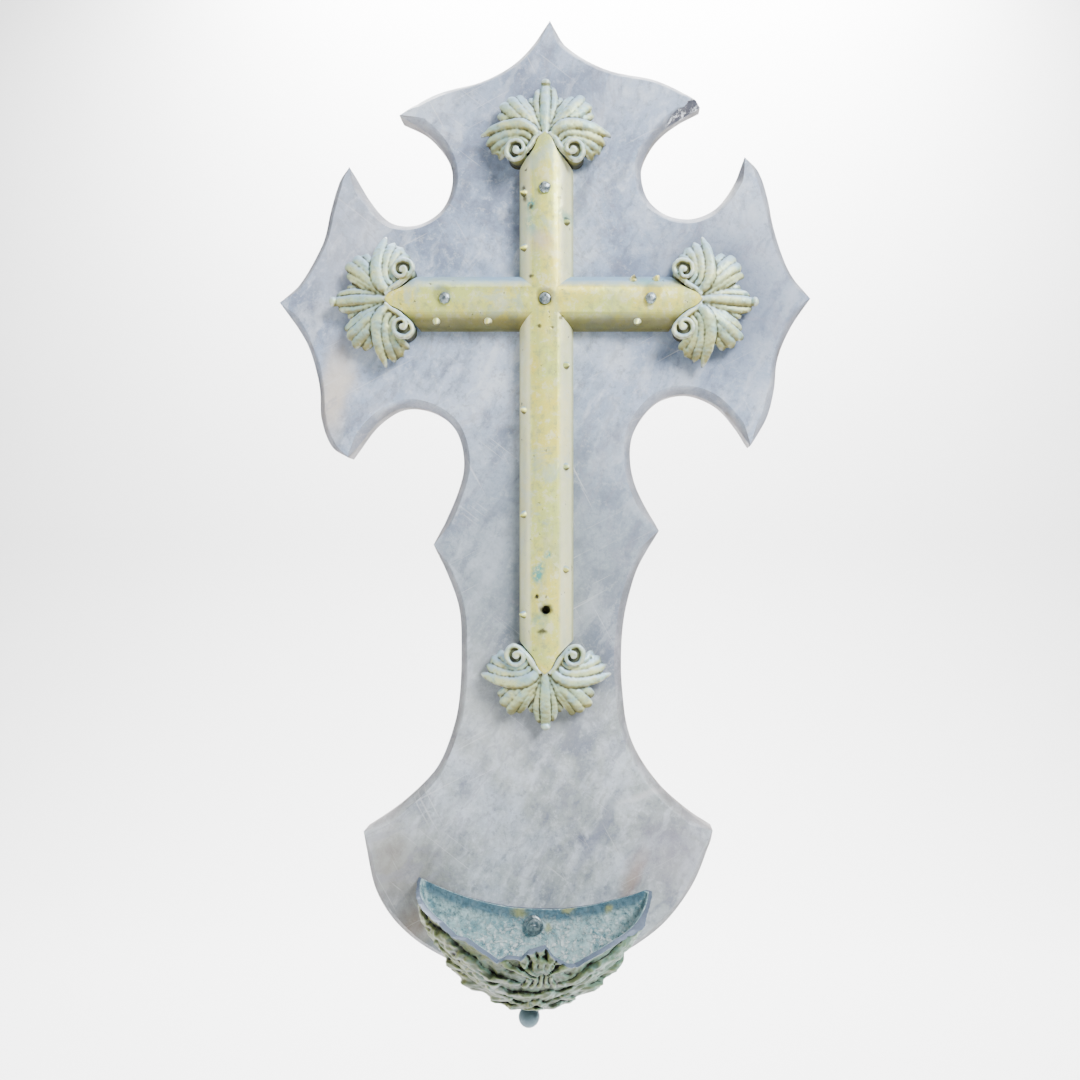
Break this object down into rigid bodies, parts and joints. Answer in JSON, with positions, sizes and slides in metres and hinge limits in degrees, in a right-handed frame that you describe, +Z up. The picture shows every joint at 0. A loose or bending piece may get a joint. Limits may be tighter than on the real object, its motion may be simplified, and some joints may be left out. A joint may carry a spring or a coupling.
{
  "type": "wall crucifix",
  "caption": "Marble wall plaque with cusped outline carrying a half-round brass cross with leafy finials and a small half-bowl font for holy water.",
  "frame": {"origin": "On the plaque's flat back, straight behind the crossing of the cross: the face that meets the wall", "axes": "+Z up, +X to the viewer's right, front faces -Y and the wall is on the +Y side"},
  "size_m": [0.3188, 0.0872, 0.6006],
  "materials": {
    "marble": "honed, weathered",
    "weathered_brass": "dulled with pits",
    "verdigris_brass": "pale verdigris",
    "bronze": "dark patina",
    "steel": "dull"
  },
  "bodies": {
    "root": {"marble_plaque": "marble", "brass_cross": "weathered_brass", "head_finial": "verdigris_brass", "left_finial": "verdigris_brass", "right_finial": "verdigris_brass", "foot_finial": "verdigris_brass", "head_stud": "steel", "left_stud": "steel", "right_stud": "steel", "centre_bolt": "steel", "holy_water_font": "bronze", "font_bolt": "steel"}
  },
  "joints": []
}
